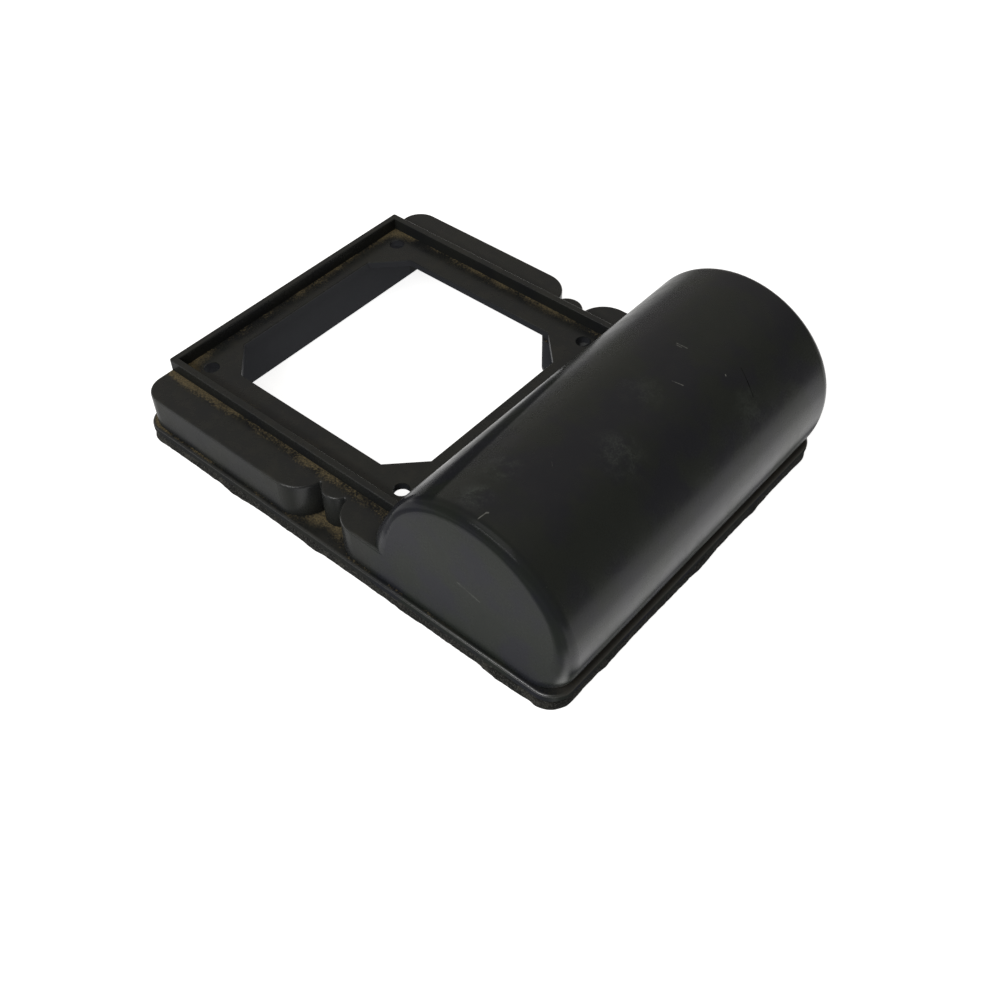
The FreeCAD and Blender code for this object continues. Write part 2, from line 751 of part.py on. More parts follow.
# ---------------------------------------------------------------- output
os.makedirs("parts", exist_ok=True)
export("top_housing", top_housing())
export("foam_light_seal", foam_light_seal())
export("light_trap_plush", light_trap_plush())
export("roller_hanger_near", roller_hanger(-1))
export("roller_hanger_far", roller_hanger(1))
export("hanger_screws", hanger_screws())
export("guide_roller_shaft", guide_roller_shaft())
export("shaft_clips", shaft_clips())
export("guide_roller", guide_roller())
export("guide_roller_bushes", guide_roller_bushes())
export("spool_core", spool_core())
export("spool_flange_near", spool_flange(-1))
export("spool_flange_far", spool_flange(1))
export("fixed_pivot_bracket", pivot_bracket(-1, False, pivot_radius))
export("sprung_pivot_bracket", pivot_bracket(1, True, pivot_radius + bush_wall))
export("bracket_screws", bracket_screws())
export("fixed_pivot_pin", fixed_pivot_pin())
export("drag_washer", washer(-1))
export("thrust_washer", washer(1))
export("sprung_pivot_pin", sprung_pivot_pin())
export("pin_bush", pin_bush())
export("pin_spring", pin_spring())
export("pin_clip", retaining_clip(spool_axis, pivot_radius, 1, stem_clip_y(), -1))
export("pull_knob", pull_knob())
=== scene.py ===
import json
import math

import bpy
import numpy as np
from mathutils import Matrix, Vector


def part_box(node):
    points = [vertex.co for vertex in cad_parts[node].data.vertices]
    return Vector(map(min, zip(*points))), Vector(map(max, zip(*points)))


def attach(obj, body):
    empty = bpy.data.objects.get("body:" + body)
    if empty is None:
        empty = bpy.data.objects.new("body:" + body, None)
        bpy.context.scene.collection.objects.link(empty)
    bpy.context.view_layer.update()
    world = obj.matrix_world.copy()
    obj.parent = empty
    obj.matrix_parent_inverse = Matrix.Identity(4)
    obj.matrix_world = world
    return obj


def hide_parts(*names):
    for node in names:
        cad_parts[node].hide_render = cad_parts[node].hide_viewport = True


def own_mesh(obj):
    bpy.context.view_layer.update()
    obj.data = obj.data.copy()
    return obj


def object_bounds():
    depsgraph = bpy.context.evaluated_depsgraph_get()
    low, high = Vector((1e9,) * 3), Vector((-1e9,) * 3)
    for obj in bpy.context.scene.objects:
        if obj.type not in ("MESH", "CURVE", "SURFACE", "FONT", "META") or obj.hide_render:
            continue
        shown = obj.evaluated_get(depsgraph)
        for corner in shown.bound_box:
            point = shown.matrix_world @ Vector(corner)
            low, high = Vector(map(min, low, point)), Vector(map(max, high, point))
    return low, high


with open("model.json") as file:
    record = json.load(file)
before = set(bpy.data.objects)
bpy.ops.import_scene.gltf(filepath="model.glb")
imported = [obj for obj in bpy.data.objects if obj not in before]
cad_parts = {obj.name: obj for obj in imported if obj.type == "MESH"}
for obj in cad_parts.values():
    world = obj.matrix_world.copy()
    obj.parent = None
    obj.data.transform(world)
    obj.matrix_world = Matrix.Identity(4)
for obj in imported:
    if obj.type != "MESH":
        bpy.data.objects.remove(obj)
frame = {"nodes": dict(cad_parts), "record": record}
cad_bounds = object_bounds()
nodes = frame["nodes"]
scene = bpy.context.scene
MM = 0.001

# places on the housing that its finish depends on, in mm
rim_outer_y = 49.4
flange_top_z = -11.8
hood_axis = (83.0, 3.5)
hood_radius = 31.4
hood_end_y = 61.3


# ---------------------------------------------------------------- helpers
def colour(hex_text):
    """sRGB hex to the linear RGBA that a shader socket takes."""
    values = [int(hex_text[i:i + 2], 16) / 255 for i in (1, 3, 5)]
    return [v / 12.92 if v <= 0.04045 else ((v + 0.055) / 1.055) ** 2.4 for v in values] + [1]


def add(material, kind, settings=None, **inputs):
    """Adds a node; settings are its properties, inputs its sockets' values or links.

    An input is named as its socket is, with _ for a space, or by its number, such as _0.
    """
    node = material.node_tree.nodes.new(kind)
    for name, value in (settings or {}).items():
        setattr(node, name, value)
    for name, value in inputs.items():
        key = int(name[1:]) if name[0] == "_" else name.replace("_", " ")
        socket = node.inputs[key]
        if isinstance(value, bpy.types.NodeSocket):
            material.node_tree.links.new(value, socket)
        else:
            socket.default_value = value
    return node


def new_material(name):
    """An empty material and its Object coordinates in mm, so that patterns are sized in mm."""
    material = bpy.data.materials.new(name)
    material.use_nodes = True
    material.node_tree.nodes.clear()
    place = add(material, "ShaderNodeTexCoord")
    mm = add(material, "ShaderNodeVectorMath", {"operation": "SCALE"},
             _0=place.outputs["Object"], Scale=1 / MM)
    return material, mm.outputs[0]


def finish_material(material, shader):
    """Makes the shader the material's surface."""
    output = add(material, "ShaderNodeOutputMaterial")
    material.node_tree.links.new(shader.outputs[0], output.inputs["Surface"])
    return material


def combine(material, operation, *values):
    """A chain of one arithmetic operation over several sockets or numbers."""
    total = values[0]
    for value in values[1:]:
        total = add(material, "ShaderNodeMath", {"operation": operation}, _0=total,
                    _1=value).outputs[0]
    return total


def graded(material, *limits):
    """The product of one smooth step for each limit, which is 1 where all of them are met.

    A limit is a value, where its step starts and where it ends, and what it gives at the
    start and at the end if that isn't 0 and 1. A ready mask or a number is taken as it is.
    """
    sockets = ("Value", "From_Min", "From_Max", "To_Min", "To_Max")
    smooth = {"interpolation_type": "SMOOTHSTEP"}
    steps = [add(material, "ShaderNodeMapRange", smooth, **dict(zip(sockets, limit))).outputs[0]
             if isinstance(limit, tuple) else limit for limit in limits]
    return combine(material, "MULTIPLY", *steps)


def layered(material, base, *coats):
    """A colour under coats of others, each laid where its mask is 1."""
    for amount, coat in coats:
        below, above = [colour(tone) if isinstance(tone, str) else tone for tone in (base, coat)]
        base = add(material, "ShaderNodeMix", {"data_type": "RGBA"}, _0=amount, _6=below,
                   _7=above).outputs[2]
    return base


def scaled(material, amount, *changes):
    """A number that is multiplied by each factor where that factor's mask is 1."""
    factors = [graded(material, (region, 0.0, 1.0, 1.0, factor)) for region, factor in changes]
    return combine(material, "MULTIPLY", amount, *factors)


# ---------------------------------------------------------------- black moulding
def barrel_point(x, y):
    """A point on the top half of the hood's barrel, in mm."""
    rise = math.sqrt(hood_radius ** 2 - (x - hood_axis[0]) ** 2)
    return Vector((x, y, hood_axis[1] + rise))


# pale scratches: start, end and half-width in mm
SCRATCHES = [
    (Vector((79.2, -hood_end_y, 9.7)), Vector((86.6, -hood_end_y, 7.7)), 0.12),
    (barrel_point(84.0, 22.6), barrel_point(87.2, 22.9), 0.14),
    (barrel_point(84.4, 22.0), barrel_point(85.9, 22.1), 0.10),
    (barrel_point(91.1, 10.5), barrel_point(93.8, 11.7), 0.18),
    (barrel_point(98.7, 24.6), barrel_point(99.0, 24.4), 0.22),
    (barrel_point(84.5, -59.0), barrel_point(84.8, -55.9), 0.18),
    (barrel_point(84.8, -55.9), barrel_point(85.1, -55.6), 0.34),
    (barrel_point(86.0, -33.0), barrel_point(87.0, -34.0), 0.08),
    (Vector((112.6, -60.2, 13.2)), Vector((113.0, -59.5, 13.8)), 0.26),
    (Vector((104.8, -58.9, 26.2)), Vector((105.2, -58.4, 25.8)), 0.20),
]

# scratches that are darker than the moulding's skin
DARK_SCRATCHES = [
    (barrel_point(100.0, 30.3), barrel_point(103.0, 29.2), 0.12),
    (barrel_point(103.0, 29.2), barrel_point(106.2, 27.9), 0.18),
]

# stains on the hood: middle, radius and strength
STAINS = [
    (barrel_point(96.0, -18.4), 9.0, 0.55),
    (barrel_point(78.9, -53.2), 6.0, 0.8),
    (barrel_point(77.8, -42.3), 6.5, 0.6),
    (barrel_point(107.0, 25.0), 7.0, 0.5),
    (barrel_point(88.0, 2.0), 8.0, 0.3),
]

# where dust has gathered: middle, reach and strength
DUST_SPOTS = [
    (Vector((-46.0, -46.5, 0.0)), 12.0, 1.0),
    (Vector((-46.0, 46.5, 0.0)), 12.0, 1.0),
    (Vector((-46.5, 15.0, 0.0)), 34.0, 0.5),
    (Vector((5.0, 47.0, 0.0)), 42.0, 0.5),
    (Vector((25.5, -58.0, flange_top_z)), 10.0, 1.1),
    (Vector((25.5, 58.0, flange_top_z)), 10.0, 0.9),
    (Vector((-46.0, -60.0, flange_top_z)), 10.0, 0.8),
    (Vector((-30.0, -50.5, 0.0)), 28.0, 0.6),
    (Vector((12.0, -50.5, 0.0)), 20.0, 0.5),
    (Vector((38.0, -51.0, 0.0)), 12.0, 0.35),
]


def near_line(material, mm, start, end, half_width):
    """1 on the line from start to end, fading to 0 at half_width from it."""
    run = end - start
    away = add(material, "ShaderNodeVectorMath", {"operation": "SUBTRACT"}, _0=mm, _1=start)
    along = add(material, "ShaderNodeVectorMath", {"operation": "DOT_PRODUCT"},
                _0=away.outputs[0], _1=run / run.length_squared)
    held = add(material, "ShaderNodeClamp", Value=along.outputs["Value"])
    foot = add(material, "ShaderNodeVectorMath", {"operation": "SCALE"}, _0=run,
               Scale=held.outputs[0])
    gap = add(material, "ShaderNodeVectorMath", {"operation": "DISTANCE"},
              _0=away.outputs[0], _1=foot.outputs[0])
    return graded(material, (gap.outputs["Value"], half_width, 0.3 * half_width))


def near_any_line(material, mm, scratches):
    """1 on each of the scratches."""
    return combine(material, "MAXIMUM", *[near_line(material, mm, *scratch)
                                          for scratch in scratches])


def near_point(material, mm, middle, reach, core, strength=1.0):
    """The strength within core of the middle, fading to 0 at reach from it, both in mm."""
    gap = add(material, "ShaderNodeVectorMath", {"operation": "DISTANCE"}, _0=mm, _1=middle)
    return graded(material, (gap.outputs["Value"], reach, core, 0.0, strength))


def dust(material, mm, place, facing_up):
    """Ochre dust: thick where a floor meets a wall, thin and patchy on the open flats.

    Dust lies within about 2 mm of a wall's foot and in a wider drift along the near rim. Its
    edge is ragged at the size of the dust's clumps, about 0.7 mm, and it thins in patches.
    Returns the dust, and how open each point is to the space round it.
    """
    open_space = add(material, "ShaderNodeAmbientOcclusion", {"samples": 8, "only_local": True},
                     Distance=6.0 * MM).outputs["AO"]
    clumps = add(material, "ShaderNodeTexNoise", Vector=mm, Scale=1 / 0.7, Detail=5.0,
                 Roughness=0.7).outputs[0]
    patches = add(material, "ShaderNodeTexNoise", Vector=mm, Scale=1 / 6.0,
                  Detail=3.0).outputs[0]
    x, y, z = place["X"], place["Y"], place["Z"]
    drift = graded(material, (y, -54.0, -50.2), (y, 1.0 - rim_outer_y, -rim_outer_y),
                   (z, -2.0, -1.0), (z, 2.0, 1.0), 0.7)
    foot = combine(material, "MAXIMUM", graded(material, (open_space, 0.88, 0.56)), drift)
    likely = combine(material, "ADD", 0.28, *[
        near_point(material, mm, middle, reach, 0.25 * reach, strength)
        for middle, reach, strength in DUST_SPOTS])
    ragged = combine(material, "ADD", graded(material, (clumps, 0.3, 0.7, -0.5, 0.5)),
                     graded(material, (patches, 0.35, 0.65, -0.35, 0.25)))
    depth = combine(material, "ADD", combine(material, "MULTIPLY", foot, likely, 1.3), ragged)
    # the flange round the hood is wiped almost clean
    wiped = graded(material, (x, 62.0, 78.0), (z, -6.0, -9.0))
    thick = graded(material, (depth, 0.35, 1.25), (foot, 0.05, 0.5), facing_up,
                   (wiped, 0.0, 1.0, 1.0, 0.15))
    specks = graded(material, (clumps, 0.66, 0.80), (patches, 0.45, 0.7), facing_up,
                    (z, 6.0, 3.0), 0.4)
    return combine(material, "MAXIMUM", thick, specks), open_space


def housing_regions(material, place, facing):
    """Masks for the parts of the moulding whose colour or shine differs, by name.

    Each is bounded by places in mm and by the way that the surface faces: facing is its
    normal, and sideways is how far that turns to either end of the hood.
    """
    x, y, z = place["X"], place["Y"], place["Z"]
    off_middle = add(material, "ShaderNodeMath", {"operation": "ABSOLUTE"}, _0=y).outputs[0]
    sideways = add(material, "ShaderNodeMath", {"operation": "ABSOLUTE"},
                   _0=facing["Y"]).outputs[0]
    round_about = graded(material, (sideways, 0.75, 0.3))
    end_turn = (off_middle, hood_end_y - 4.0, hood_end_y - 2.4)
    region = {
        # the hood and the plate's end under it
        "hood": combine(material, "MAXIMUM", graded(material, (z, 5.0, 9.0)),
                        graded(material, (x, 44.0, 50.0))),
        # the window's trimmed edge and the walls below the plate, painted a paler grey: painted
        # light from the table under the window
        "below_plate": graded(material, (z, -0.25, -0.5), (off_middle, 48.5, 48.0),
                              (x, -49.2, -48.4), (x, 41.0, 40.0)),
        # between the foot of the barrel and the flange, painted a paler grey to lift the shade
        # in that crevice: painted light
        "groove": graded(material, (x, 105.0, 107.0), (z, -8.0, -10.0), (z, -13.0, -12.4),
                         (off_middle, 61.0, 57.0)),
        # the hood's shoulder on the side of the window, made dull to paint its reflection darker
        "shoulder": graded(material, (x, 76.0, 65.0), (z, 14.0, 18.0), round_about),
        # the front of the barrel, made less shiny to paint the table's reflection there dimmer
        "held": graded(material, (facing["X"], 0.1, 0.8), (z, 8.5, 13.0, 0.65, 1.0)),
        # the upright walls, made less shiny, most towards their foot: painted shade in their
        # reflections
        "wall": graded(material, (sideways, 0.6, 0.95), (facing["Z"], 0.5, 0.25)),
        # the hood's end edges, rubbed smooth and with their highlight dimmed by less shine, and
        # the turn from barrel to end wall, made dull to paint its reflection darker
        "edge": graded(material, end_turn, (sideways, 0.99, 0.9), (z, 12.0, 20.0)),
        "turned": graded(material, (sideways, 0.45, 0.70), (sideways, 0.995, 0.97), end_turn,
                         (z, 4.0, 12.0)),
        # the rounded edge of the flange round the hood, made extra shiny: a painted highlight
        "bead": graded(material, (z, flange_top_z + 0.1, flange_top_z - 0.05),
                       (sideways, 0.15, 0.40), (x, 40.0, 100.0)),
    }
    # a strip a little askew along the shoulder is made dull: a painted dark reflection beside
    # the barrel's bright edge
    askew = combine(material, "ADD", x, combine(material, "MULTIPLY", y, 0.11), 3.3)
    region["grime_strip"] = graded(material, (askew, 60.3, 63.8), (askew, 68.4, 66.6),
                                   (z, 18.0, 22.0), round_about, (y, 6.0, -6.0))
    # the foot of the barrel and the fillet under it are made dull: painted shade at the foot, in
    # their reflections
    barrel_face = graded(material, (facing["X"], 0.6, 0.9), (z, 6.5, -2.2), (x, 107.0, 109.5))
    fillet = graded(material, (z, -6.5, -8.5), (x, 107.0, 109.0), (off_middle, 60.0, 57.0))
    region["barrel_foot"] = combine(material, "MAXIMUM", barrel_face, fillet)
    # the flange's edge is made dull too: painted shade at the foot of the moulding
    flange_edge = graded(material, (z, flange_top_z - 0.3, flange_top_z - 0.9))
    region["dull"] = combine(material, "MAXIMUM", region["below_plate"], flange_edge)
    return region


def moulded_abs():
    """ABS from a finely etched mould: satin black with a fine even grain, clouded by handling.

    The eye sees near-black flats, a soft bright band where the barrel turns to the white
    table, ochre dust in the corners and a few pale scratches.
    """
    material, mm = new_material("moulded_abs_satin_black")
    surface = add(material, "ShaderNodeNewGeometry")
    facing = add(material, "ShaderNodeSeparateXYZ", Vector=surface.outputs["Normal"]).outputs
    place = add(material, "ShaderNodeSeparateXYZ", Vector=mm).outputs
    facing_up = graded(material, (facing["Z"], 0.6, 0.95))
    dusty, open_space = dust(material, mm, place, facing_up)
    region = housing_regions(material, place, facing)
    clouds = add(material, "ShaderNodeTexNoise", Vector=mm, Scale=1 / 16.0, Detail=4.0,
                 Roughness=0.55).outputs[0]
    film = add(material, "ShaderNodeTexNoise", Vector=mm, Scale=1 / 5.0, Detail=6.0,
               Roughness=0.7).outputs[0]
    # the etched grain is finer than this in life, and at 0.45 mm it just shows
    grain = add(material, "ShaderNodeTexNoise", Vector=mm, Scale=1 / 0.45,
                Detail=2.0).outputs[0]

    # the plate keeps a warm film of dust, and the hood, wiped by hands, is blacker and bluer
    plate_black = layered(material, "#242526",
                          (graded(material, (clouds, 0.38, 0.62)), "#282927"))
    hood_black = layered(material, "#232429",
                         (graded(material, (clouds, 0.40, 0.60)), "#252825"))
    grime = graded(material, (film, 0.42, 0.72), facing_up,
                   (region["hood"], 0.0, 1.0, 0.14, 0.04))
    marks = graded(material, near_any_line(material, mm, SCRATCHES),
                   (film, 0.35, 0.6, 0.1, 0.75))
    cuts = near_any_line(material, mm, DARK_SCRATCHES)
    speckle = graded(material, (grain, 0.42, 0.62, 0.35, 1.0))
    stains = [graded(material, near_point(material, mm, middle, radius, 0.2 * radius),
                     (film, 0.40, 0.62), speckle, strength)
              for middle, radius, strength in STAINS]
    ochre = layered(material, "#4f4839", (graded(material, (grain, 0.35, 0.65)), "#7b6e51"))
    # the groove's paler grey is painted light that lifts the shade of that crevice
    base = layered(material, plate_black, (region["hood"], hood_black),
                   # the paler grey below the plate is painted light from the white table under
                   # the window
                   (region["below_plate"], "#2d2e31"), (region["groove"], "#3f3e3b"),
                   (grime, "#4f4a3d"), (marks, "#8f908b"), (cuts, "#050505"),
                   *[(stain, "#484d49") for stain in stains], (dusty, ochre))

    rough = combine(material, "ADD", graded(material, (clouds, 0.3, 0.7, 0.24, 0.30)),
                    graded(material, (film, 0.35, 0.7, -0.03, 0.04)),
                    combine(material, "MULTIPLY", dusty, 0.5),
                    combine(material, "MULTIPLY", region["dull"], 0.2),
                    combine(material, "MULTIPLY", region["edge"], -0.10))
    # the shine is set place by place. Lowering it on the walls, most towards their foot, under
    # the plate, on the flange's edge, at the barrel's foot and in hollows paints shade into the
    # reflections; lowering it on the barrel's front, its shoulder and the end turns paints their
    # reflections darker; halving it on the end edges dims their highlight, and raising it on the
    # bead paints a highlight
    wall_shine = graded(material, (place["Z"], -12.0, 24.0, 0.05, 0.12))
    shine = scaled(material, 0.38, (region["wall"], wall_shine), (region["edge"], 0.5),
                   (region["turned"], 0.2), (region["bead"], 2.2), (region["dull"], 0.12),
                   (region["shoulder"], 0.1), (region["grime_strip"], 0.05),
                   (region["barrel_foot"], 0.01), (region["held"], 0.4), (cuts, 0.2))
    # the shine fades where the surface is hemmed in: painted shade in the hollows
    shine = graded(material, shine, (open_space, 0.45, 0.92, 0.3, 1.0))
    relief = combine(material, "ADD", combine(material, "MULTIPLY", grain, 0.5),
                     combine(material, "MULTIPLY", dusty, 2.0),
                     combine(material, "MULTIPLY", marks, -1.0))
    bump = add(material, "ShaderNodeBump", Height=relief, Strength=0.35, Distance=0.05 * MM)
    shader = add(material, "ShaderNodeBsdfPrincipled", Base_Color=base, Roughness=rough,
                 IOR=1.54, Specular_IOR_Level=shine, Normal=bump.outputs[0])
    return finish_material(material, shader)


# ---------------------------------------------------------------- foam, plush and felt
def open_cell_foam():
    """Open-cell polyurethane foam, cut with a knife and aged: dull charcoal, pitted, dusty.

    Its cells are about 0.6 mm across and show as dark pits between paler struts; the pits' dark
    is painted shade in the hollows.
    """
    material, mm = new_material("open_cell_polyurethane_foam_cut")
    cells = add(material, "ShaderNodeTexVoronoi", {"feature": "F1"}, Vector=mm, Scale=1 / 0.6)
    worn = add(material, "ShaderNodeTexNoise", Vector=mm, Scale=1 / 4.0, Detail=5.0)
    crumbs = add(material, "ShaderNodeTexNoise", Vector=mm, Scale=1 / 1.1, Detail=4.0)
    place = add(material, "ShaderNodeSeparateXYZ", Vector=mm)
    # the pits' dark colour is painted shade in the cells' hollows
    pit = graded(material, (cells.outputs["Distance"], 0.15, 0.6))
    # the last coat darkens the foam in front of the hood: painted shade, with some soot
    base = layered(material, "#3d3d3a", (pit, "#191918"),
                   (graded(material, (worn.outputs[0], 0.52, 0.75, 0.0, 0.6)), "#44423c"),
                   (graded(material, (crumbs.outputs[0], 0.62, 0.74, 0.0, 0.8)), "#4c4a46"),
                   (graded(material, (place.outputs["X"], 106.0, 112.0, 0.0, 0.5)), "#060606"))
    bump = add(material, "ShaderNodeBump", Height=pit, Strength=0.8, Distance=0.2 * MM)
    shader = add(material, "ShaderNodeBsdfPrincipled", Base_Color=base, Roughness=0.95,
                 Specular_IOR_Level=0.1, Normal=bump.outputs[0])
    return finish_material(material, shader)


def pile_fabric(name, dark, pale, fibre_mm):
    """Pile or felt: matt, with fibres that catch the light at their tips."""
    material, mm = new_material(name)
    fibres = add(material, "ShaderNodeTexNoise", Vector=mm, Scale=1 / fibre_mm, Detail=4.0,
                 Distortion=1.5).outputs[0]
    base = layered(material, dark, (graded(material, (fibres, 0.35, 0.7)), pale))
    bump = add(material, "ShaderNodeBump", Height=fibres, Strength=0.7, Distance=0.15 * MM)
    shader = add(material, "ShaderNodeBsdfPrincipled", Base_Color=base, Roughness=0.9,
                 Sheen_Weight=0.4, Normal=bump.outputs[0])
    return finish_material(material, shader)


# ---------------------------------------------------------------- metals and small plastics
def turned_metal(name, base_hex, roughness, ring_mm):
    """Metal turned or ground about the film's axis: fine rings across Y, ring_mm apart."""
    material, mm = new_material(name)
    # a wave texture's bands repeat every 0.314 of its input
    rings = add(material, "ShaderNodeTexWave", {"bands_direction": "Y"}, Vector=mm,
                Scale=0.314 / ring_mm, Distortion=0.6, Detail=2.0, Detail_Scale=1.5)
    handled = add(material, "ShaderNodeTexNoise", Vector=mm, Scale=1 / 6.0,
                  Detail=5.0).outputs[0]
    base = layered(material, base_hex,
                   (graded(material, (handled, 0.4, 0.7, 0.0, 0.3)), "#6f6c66"))
    rough = graded(material, (handled, 0.3, 0.7, roughness - 0.05, roughness + 0.1))
    bump = add(material, "ShaderNodeBump", Height=rings.outputs["Fac"], Strength=0.25,
               Distance=0.02 * MM)
    shader = add(material, "ShaderNodeBsdfPrincipled", Base_Color=base, Roughness=rough,
                 Metallic=1.0, Normal=bump.outputs[0])
    return finish_material(material, shader)


def rolled_sheet(name, first_hex, second_hex, roughness, mottle_mm):
    """Sheet metal with a plated or blackened skin: mottled colour over faint rolling lines."""
    material, mm = new_material(name)
    # the lines are about 7 mm long, along X, and 0.25 mm wide
    stretch = add(material, "ShaderNodeMapping", Vector=mm, Scale=(0.15, 4.0, 4.0))
    lines = add(material, "ShaderNodeTexNoise", Vector=stretch.outputs[0], Scale=1.0,
                Detail=3.0).outputs[0]
    mottle = add(material, "ShaderNodeTexNoise", Vector=mm, Scale=1 / mottle_mm,
                 Detail=5.0).outputs[0]
    base = layered(material, first_hex, (graded(material, (mottle, 0.35, 0.65)), second_hex))
    rough = combine(material, "ADD",
                    graded(material, (mottle, 0.3, 0.7, roughness, roughness + 0.12)),
                    graded(material, (lines, 0.3, 0.7, 0.0, 0.08)))
    bump = add(material, "ShaderNodeBump", Height=lines, Strength=0.2, Distance=0.02 * MM)
    shader = add(material, "ShaderNodeBsdfPrincipled", Base_Color=base, Roughness=rough,
                 Metallic=1.0, Normal=bump.outputs[0])
    return finish_material(material, shader)


def moulded_small(name, first_hex, second_hex, roughness, glow):
    """A small moulding: even colour, slightly cloudy, with a faint grain and soft edges."""
    material, mm = new_material(name)
    clouds = add(material, "ShaderNodeTexNoise", Vector=mm, Scale=1 / 4.0,
                 Detail=4.0).outputs[0]
    # finer than this in life, and drawn coarse enough to show
    grain = add(material, "ShaderNodeTexNoise", Vector=mm, Scale=1 / 0.4, Detail=2.0)
    base = layered(material, first_hex, (graded(material, (clouds, 0.35, 0.65)), second_hex))
    rough = graded(material, (clouds, 0.3, 0.7, roughness, roughness + 0.12))
    bump = add(material, "ShaderNodeBump", Height=grain.outputs[0], Strength=0.15,
               Distance=0.03 * MM)
    shader = add(material, "ShaderNodeBsdfPrincipled", Base_Color=base, Roughness=rough,
                 IOR=1.53, Subsurface_Weight=glow, Subsurface_Scale=0.4 * MM,
                 Normal=bump.outputs[0])
    return finish_material(material, shader)


blackened = rolled_sheet("steel_sheet_oil_blackened", "#131416", "#1d1c1b", 0.42, 3.0)
zinc_sheet = rolled_sheet("steel_sheet_zinc_plated", "#a4a8ab", "#8f9294", 0.32, 2.5)
zinc_screw = rolled_sheet("steel_screw_zinc_plated", "#b0b3b5", "#989b9c", 0.26, 1.2)
ground = turned_metal("steel_rod_ground", "#b4b5b6", 0.20, 0.12)
spring = turned_metal("spring_steel_drawn", "#86837e", 0.28, 0.2)
core_metal = turned_metal("aluminium_tube_satin", "#c3c4c6", 0.34, 0.3)
knob_metal = turned_metal("aluminium_knob_turned", "#c8c9cb", 0.26, 0.15)
roller_metal = turned_metal("aluminium_roller_turned", "#c5c7c9", 0.28, 0.2)
nylon = moulded_small("nylon_natural_moulded", "#d8d2c0", "#cbc5b2", 0.38, 0.3)
spool_plastic = moulded_small("polystyrene_black_moulded", "#141416", "#1b1b1c", 0.24, 0.0)
plush = pile_fabric("plush_black_woven_pile", "#0d0d0e", "#26262a", 0.35)
felt = pile_fabric("wool_felt_grey_pressed", "#2c2c2e", "#4c4c50", 0.5)
foam = open_cell_foam()
moulded = moulded_abs()

FINISHES = {
    "moulded_black": moulded, "blackened_steel": blackened, "zinc_sheet": zinc_sheet,
    "zinc_screw": zinc_screw, "ground_steel": ground, "spring_steel": spring, "felt": felt,
    "white_nylon": nylon, "core_aluminium": core_metal, "spool_plastic": spool_plastic,
    "knob_aluminium": knob_metal, "roller_aluminium": roller_metal, "seal_foam": foam,
    "black_plush": plush,
}
for subpart in frame["record"]["subparts"]:
    for holder in nodes[subpart["node"]].material_slots:
        holder.material = FINISHES[subpart["material_slot"]]


# ---------------------------------------------------------------- meshes worked out in numpy
def solid_mesh(name, points, faces, material, smooth=True):
    """A mesh object at the origin from points in mm and equal-sided faces."""
    mesh = bpy.data.meshes.new(name)
    mesh.from_pydata((points * MM).tolist(), [], faces.tolist())
    mesh.polygons.foreach_set("use_smooth", np.full(len(faces), smooth))
    mesh.materials.append(material)
    mesh.update()
    piece = bpy.data.objects.new(name, mesh)
    scene.collection.objects.link(piece)
    return piece


def grid_mesh(name, points, material):
    """A closed surface from points[row, column], wrapped both ways, as smooth quads."""
    rows, columns = points.shape[:2]
    row, column = np.meshgrid(np.arange(rows), np.arange(columns), indexing="ij")
    after_row = (row + 1) % rows
    after_column = (column + 1) % columns
    quads = np.stack([row * columns + column, after_row * columns + column,
                      after_row * columns + after_column, row * columns + after_column], -1)
    return solid_mesh(name, points.reshape(-1, 3), quads.reshape(-1, 4), material)


def rough_field(rng, shape, steps, sizes):
    """Smooth noise on a wrapped grid, about -1 to 1: white noise blurred to sizes, in mm."""
    blur = 10
    waves = np.fft.fft2(rng.standard_normal(shape))
    damp = 0
    for count, step, size, axis in zip(shape, steps, sizes, (0, 1)):
        frequency = np.fft.fftfreq(count, step) * size
        damp = damp + np.expand_dims(frequency ** 2, 1 - axis)
    field = np.fft.ifft2(waves * np.exp(-blur * damp)).real
    return field / (2 * field.std())


def ring_path(half_x, half_y, radius, step):
    """Points and outward directions along a rounded rectangle, anticlockwise.

    Each corner is a quarter circle of that radius, and straight runs join them.
    """
    corners = [(1, -1, -90), (1, 1, 0), (-1, 1, 90), (-1, -1, 180)]
    places, outward = [], []
    arc_count = max(int(radius * math.pi / 2 / step), 4)
    for number, (side_x, side_y, start) in enumerate(corners):
        angle = np.radians(start + 90 * np.arange(arc_count) / arc_count)
        direction = np.stack([np.cos(angle), np.sin(angle)], -1)
        middle = np.array([side_x * (half_x - radius), side_y * (half_y - radius)])
        places.append(middle + radius * direction)
        outward.append(direction)
        run = 2 * (half_y - radius) if number % 2 == 0 else 2 * (half_x - radius)
        run_count = int(run / step)
        end = math.radians(start + 90)
        facing = np.array([math.cos(end), math.sin(end)])
        travel = np.array([-facing[1], facing[0]])
        share = np.arange(run_count)[:, None] / run_count
        places.append(middle + radius * facing + travel * run * share)
        outward.append(np.tile(facing, (run_count, 1)))
    return np.concatenate(places), np.concatenate(outward)


def cut_section(width, height, step, squareness):
    """Outline of a cut strip, evenly spaced: a superellipse that is nearly a rectangle."""
    fine_count = 4001
    angle = np.linspace(0, 2 * np.pi, fine_count)
    across = width / 2 * np.sign(np.cos(angle)) * np.abs(np.cos(angle)) ** squareness
    up = height / 2 * np.sign(np.sin(angle)) * np.abs(np.sin(angle)) ** squareness
    length = np.concatenate([[0], np.cumsum(np.hypot(np.diff(across), np.diff(up)))])
    count = int(length[-1] / step)
    at = length[-1] * np.arange(count) / count
    return np.interp(at, length, across), np.interp(at, length, up)


